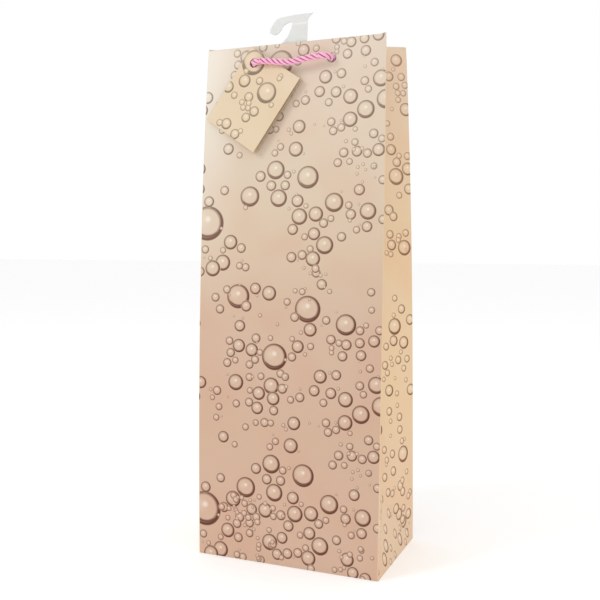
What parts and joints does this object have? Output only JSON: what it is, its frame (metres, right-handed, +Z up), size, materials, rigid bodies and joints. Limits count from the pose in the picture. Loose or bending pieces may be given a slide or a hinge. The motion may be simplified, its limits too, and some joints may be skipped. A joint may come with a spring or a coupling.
{
  "type": "wine gift bag",
  "caption": "Tall paper gift bag for one bottle, open at the top, with folded side gussets, twisted rope handles, a hanging gift tag and a flat display hook.",
  "frame": {"origin": "middle of the bag's footprint, on the surface that it stands on", "axes": "+Z up along the bag's height, -Y out of the front panel, +X to the right as the front is seen"},
  "size_m": [0.13, 0.084, 0.3692],
  "materials": {
    "printed_paper": "matte laminated art paper, pink and beige print of bubbles",
    "side_paper": "matte laminated art paper, golden beige print of bubbles",
    "paper_inside": "plain white uncoated back of the paper",
    "grey_board": "uncoated grey card",
    "rope": "pink three-strand twisted rope with a soft sheen",
    "tag_card": "matte laminated card, beige print of bubbles",
    "hook_plastic": "translucent milky sheet plastic",
    "tape": "double-sided tape"
  },
  "bodies": {
    "root": {"base_flap_front": "printed_paper", "base_flap_back": "printed_paper", "base_flap_left": "side_paper", "base_flap_right": "side_paper", "base_board": "grey_board", "left_gusset_front_half": "side_paper", "left_gusset_front_hem": "paper_inside", "left_gusset_back_half": "side_paper", "left_gusset_back_hem": "paper_inside", "left_gusset_triangle": "side_paper", "right_gusset_front_half": "side_paper", "right_gusset_front_hem": "paper_inside", "right_gusset_back_half": "side_paper", "right_gusset_back_hem": "paper_inside", "right_gusset_triangle": "side_paper"},
    "front_wall": {"front_panel": "printed_paper", "front_stiffener": "grey_board", "front_hem": "paper_inside", "front_left_rope_tail": "rope", "front_left_knot": "rope", "front_right_rope_tail": "rope", "front_right_knot": "rope", "hook_tape_pad": "tape", "hang_hook": "hook_plastic"},
    "back_wall": {"back_panel": "printed_paper", "back_stiffener": "grey_board", "back_hem": "paper_inside", "back_left_rope_tail": "rope", "back_left_knot": "rope", "back_right_rope_tail": "rope", "back_right_knot": "rope", "side_seam_flap": "paper_inside"},
    "front_handle": {"front_handle_rope": "rope"},
    "back_handle": {"back_handle_rope": "rope"},
    "tag": {"tag_back_leaf": "tag_card", "tag_front_leaf": "tag_card"}
  },
  "joints": [
    {"name": "front_wall_flex", "type": "hinge", "parent": "root", "child": "front_wall", "pos_m": [0, -0.04181, 0.00029], "axis": [-1, 0, 0], "range_deg": [-1, 2.5], "stiffness_Nm_per_rad": 1, "deforming": ["left_gusset_front_half", "left_gusset_front_hem", "right_gusset_front_half", "right_gusset_front_hem"]},
    {"name": "back_wall_flex", "type": "hinge", "parent": "root", "child": "back_wall", "pos_m": [0, 0.04181, 0.00029], "axis": [1, 0, 0], "range_deg": [-1, 2.5], "stiffness_Nm_per_rad": 1, "deforming": ["left_gusset_back_half", "left_gusset_back_hem", "right_gusset_back_half", "right_gusset_back_hem"]},
    {"name": "front_handle_swing", "type": "hinge", "parent": "front_wall", "child": "front_handle", "pos_m": [0, -0.03118, 0.33763], "axis": [-1, 0, 0], "range_deg": [0, 170]},
    {"name": "back_handle_swing", "type": "hinge", "parent": "back_wall", "child": "back_handle", "pos_m": [0, 0.03118, 0.33763], "axis": [1, 0, 0], "range_deg": [0, 170]},
    {"name": "tag_swing", "type": "hinge", "parent": "front_wall", "child": "tag", "pos_m": [-0.0275, -0.02569, 0.33733], "axis": [0, 0.9985, -0.0542], "range_deg": [-15, 35]}
  ]
}
